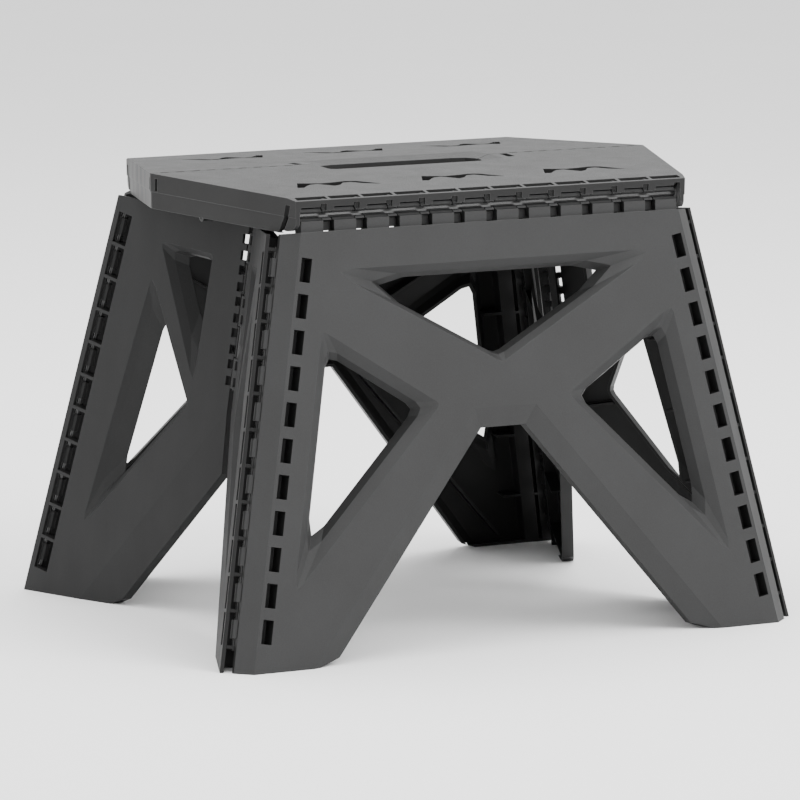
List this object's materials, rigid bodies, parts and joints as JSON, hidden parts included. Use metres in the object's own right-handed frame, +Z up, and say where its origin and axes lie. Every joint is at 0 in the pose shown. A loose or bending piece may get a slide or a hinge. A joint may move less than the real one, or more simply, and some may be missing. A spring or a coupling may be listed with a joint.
{
  "type": "folding step stool",
  "caption": "Folding step stool: two seat halves hinged to X-shaped leg panels, with hinged end leaves that fold inwards and a hand slot across the ridge.",
  "frame": {"origin": "on the floor, under the middle of the seat", "axes": "+Z up, +X along the seat's ridge, -Y to the front"},
  "size_m": [0.424, 0.3524, 0.3053],
  "materials": {
    "seat": "fine stipple, matt",
    "panel": "matt moulded",
    "leaf": "matt moulded",
    "rod": "glossy dark",
    "pin": "blackened, drawn"
  },
  "bodies": {
    "front_panel": {"front_leg_panel": "panel", "seat_rod_front": "rod", "corner_pin_front_left": "pin", "corner_pin_front_right": "pin"},
    "back_panel": {"back_leg_panel": "panel", "seat_rod_back": "rod", "corner_pin_back_left": "pin", "corner_pin_back_right": "pin"},
    "seat_front_half": {"seat_front": "seat", "centre_pin_left": "pin", "centre_pin_right": "pin"},
    "seat_back_half": {"seat_back": "seat"},
    "leaf_front_left": {"end_leaf_front_left": "leaf", "middle_pin_left": "pin"},
    "leaf_front_right": {"end_leaf_front_right": "leaf", "middle_pin_right": "pin"},
    "leaf_back_left": {"end_leaf_back_left": "leaf"},
    "leaf_back_right": {"end_leaf_back_right": "leaf"}
  },
  "joints": [
    {"name": "front_seat_hinge", "type": "hinge", "parent": "front_panel", "child": "seat_front_half", "pos_m": [0, -0.1252, 0.288], "axis": [1, 0, 0], "range_deg": [0, 78.8]},
    {"name": "seat_centre_hinge", "type": "hinge", "parent": "seat_front_half", "child": "seat_back_half", "pos_m": [0, 0, 0.27494], "axis": [1, 0, 0], "range_deg": [-175.4, 0]},
    {"name": "back_seat_hinge", "type": "hinge", "parent": "seat_back_half", "child": "back_panel", "pos_m": [0, 0.1252, 0.288], "axis": [1, 0, 0], "range_deg": [0, 78.9]},
    {"name": "front_left_corner_hinge", "type": "hinge", "parent": "front_panel", "child": "leaf_front_left", "pos_m": [-0.2036, -0.16001, 0], "axis": [-0.192, -0.1509, -0.9697], "range_deg": [0, 69.7]},
    {"name": "front_right_corner_hinge", "type": "hinge", "parent": "front_panel", "child": "leaf_front_right", "pos_m": [0.2036, -0.16001, 0], "axis": [-0.192, 0.1509, 0.9697], "range_deg": [0, 69.7]},
    {"name": "back_left_corner_hinge", "type": "hinge", "parent": "back_panel", "child": "leaf_back_left", "pos_m": [-0.2036, 0.16001, 0], "axis": [0.192, -0.1509, 0.9697], "range_deg": [0, 69.7]},
    {"name": "back_right_corner_hinge", "type": "hinge", "parent": "back_panel", "child": "leaf_back_right", "pos_m": [0.2036, 0.16001, 0], "axis": [0.192, 0.1509, -0.9697], "range_deg": [0, 69.7]}
  ],
  "couplings": [
    {"joint": "seat_centre_hinge", "follows": "front_seat_hinge", "ratio": -2.2243},
    {"joint": "back_seat_hinge", "follows": "front_seat_hinge", "ratio": 1},
    {"joint": "front_left_corner_hinge", "follows": "front_seat_hinge", "ratio": 0.88356},
    {"joint": "front_right_corner_hinge", "follows": "front_seat_hinge", "ratio": 0.88356},
    {"joint": "back_left_corner_hinge", "follows": "front_seat_hinge", "ratio": 0.88356},
    {"joint": "back_right_corner_hinge", "follows": "front_seat_hinge", "ratio": 0.88356}
  ]
}
